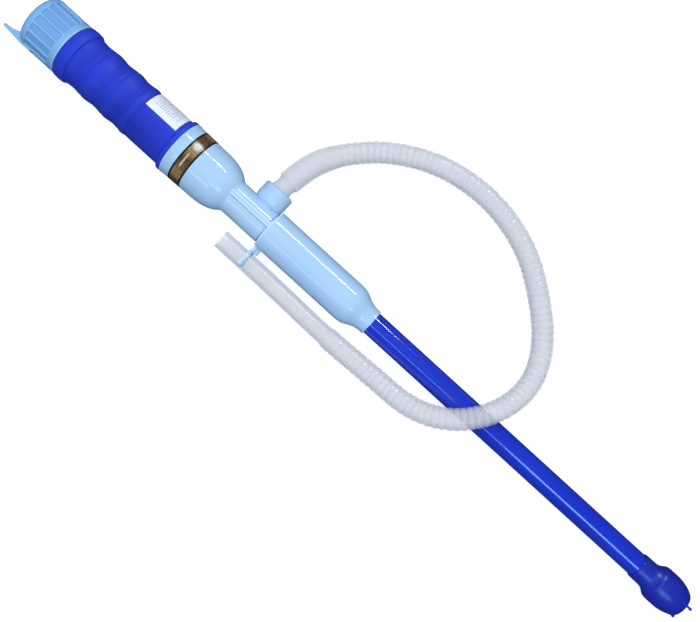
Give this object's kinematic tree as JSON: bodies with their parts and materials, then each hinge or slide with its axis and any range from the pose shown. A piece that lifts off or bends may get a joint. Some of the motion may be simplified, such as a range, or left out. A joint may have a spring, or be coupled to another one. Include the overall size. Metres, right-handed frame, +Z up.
{
  "type": "liquid transfer pump",
  "caption": "Hand-held battery pump: light housing with a motor, long suction tube, slotted intake bulb, screw cap switch and a looped ribbed outlet hose held in a clip.",
  "frame": {"origin": "centre of the intake bulb's end face, on the pump's axis; the three feet stand 3.6 mm past it", "axes": "+X runs along the pump's axis from the intake to the screw cap, +Z is up as the pump lies on its side, and +Y points to the side with the hose clip; the outlet points along -Y"},
  "size_m": [0.6432, 0.1714, 0.0592],
  "materials": {
    "dark_blue_plastic": "moulded, satin",
    "deep_blue_plastic": "extruded and moulded, glossy",
    "light_blue_plastic": "moulded, glossy",
    "cap_plastic": "moulded, satin gloss",
    "hose_plastic": "soft, translucent",
    "white_nylon": "moulded nylon",
    "black_rubber": "soft",
    "shaft_steel": "ground",
    "motor_steel": "plated",
    "magnet_ferrite": "sintered",
    "winding_copper": "enamelled copper",
    "bush_bronze": "sintered bronze",
    "contact_nickel": "nickel plated",
    "cell_jacket": "plain jacket",
    "lead_insulation": "wire insulation",
    "band_foil": "foil band",
    "label_paper": "plain label"
  },
  "bodies": {
    "pump": {"band_sticker": "band_foil", "battery_case": "dark_blue_plastic", "brushes": "bush_bronze", "bulkhead": "white_nylon", "cap_seal": "black_rubber", "case_spring": "contact_nickel", "cell_lower": "cell_jacket", "cell_upper": "cell_jacket", "field_magnets": "magnet_ferrite", "foot_bearing": "white_nylon", "hose_clip": "light_blue_plastic", "hose_cuff": "hose_plastic", "hose_end": "hose_plastic", "hose_ribbed": "hose_plastic", "housing_clip_half": "light_blue_plastic", "housing_outlet_half": "light_blue_plastic", "intake_bulb": "deep_blue_plastic", "label_sticker": "label_paper", "motor_bushings": "bush_bronze", "motor_can": "motor_steel", "motor_end_bell": "white_nylon", "motor_leads": "lead_insulation", "motor_mount": "white_nylon", "outlet_collar": "light_blue_plastic", "pump_head": "deep_blue_plastic", "shaft_guides": "white_nylon", "shaft_seal": "black_rubber", "side_conductor": "contact_nickel", "suction_tube": "deep_blue_plastic"},
    "cap_carrier": {"cap_contact": "contact_nickel", "cap_spring": "contact_nickel"},
    "cap": {"cap_shell": "cap_plastic"},
    "rotor": {"armature_core": "motor_steel", "armature_windings": "winding_copper", "commutator": "winding_copper", "motor_shaft": "shaft_steel", "shaft_coupling": "white_nylon", "drive_shaft": "shaft_steel", "impeller": "white_nylon"}
  },
  "joints": [
    {"name": "cap_advance", "type": "slide", "parent": "pump", "child": "cap_carrier", "axis": [1, 0, 0], "range_m": [-0.0006, 0.0061]},
    {"name": "cap_turn", "type": "hinge", "parent": "cap_carrier", "child": "cap", "pos_m": [0.5915, 0, 0], "axis": [1, 0, 0], "range_deg": [-60, 720]},
    {"name": "rotor_spin", "type": "hinge", "parent": "pump", "child": "rotor", "pos_m": [0.4689, 0, 0], "axis": [1, 0, 0], "continuous": true}
  ],
  "couplings": [
    {"joint": "cap_advance", "follows": "cap_turn", "m_per_rad": 0.00047746}
  ]
}
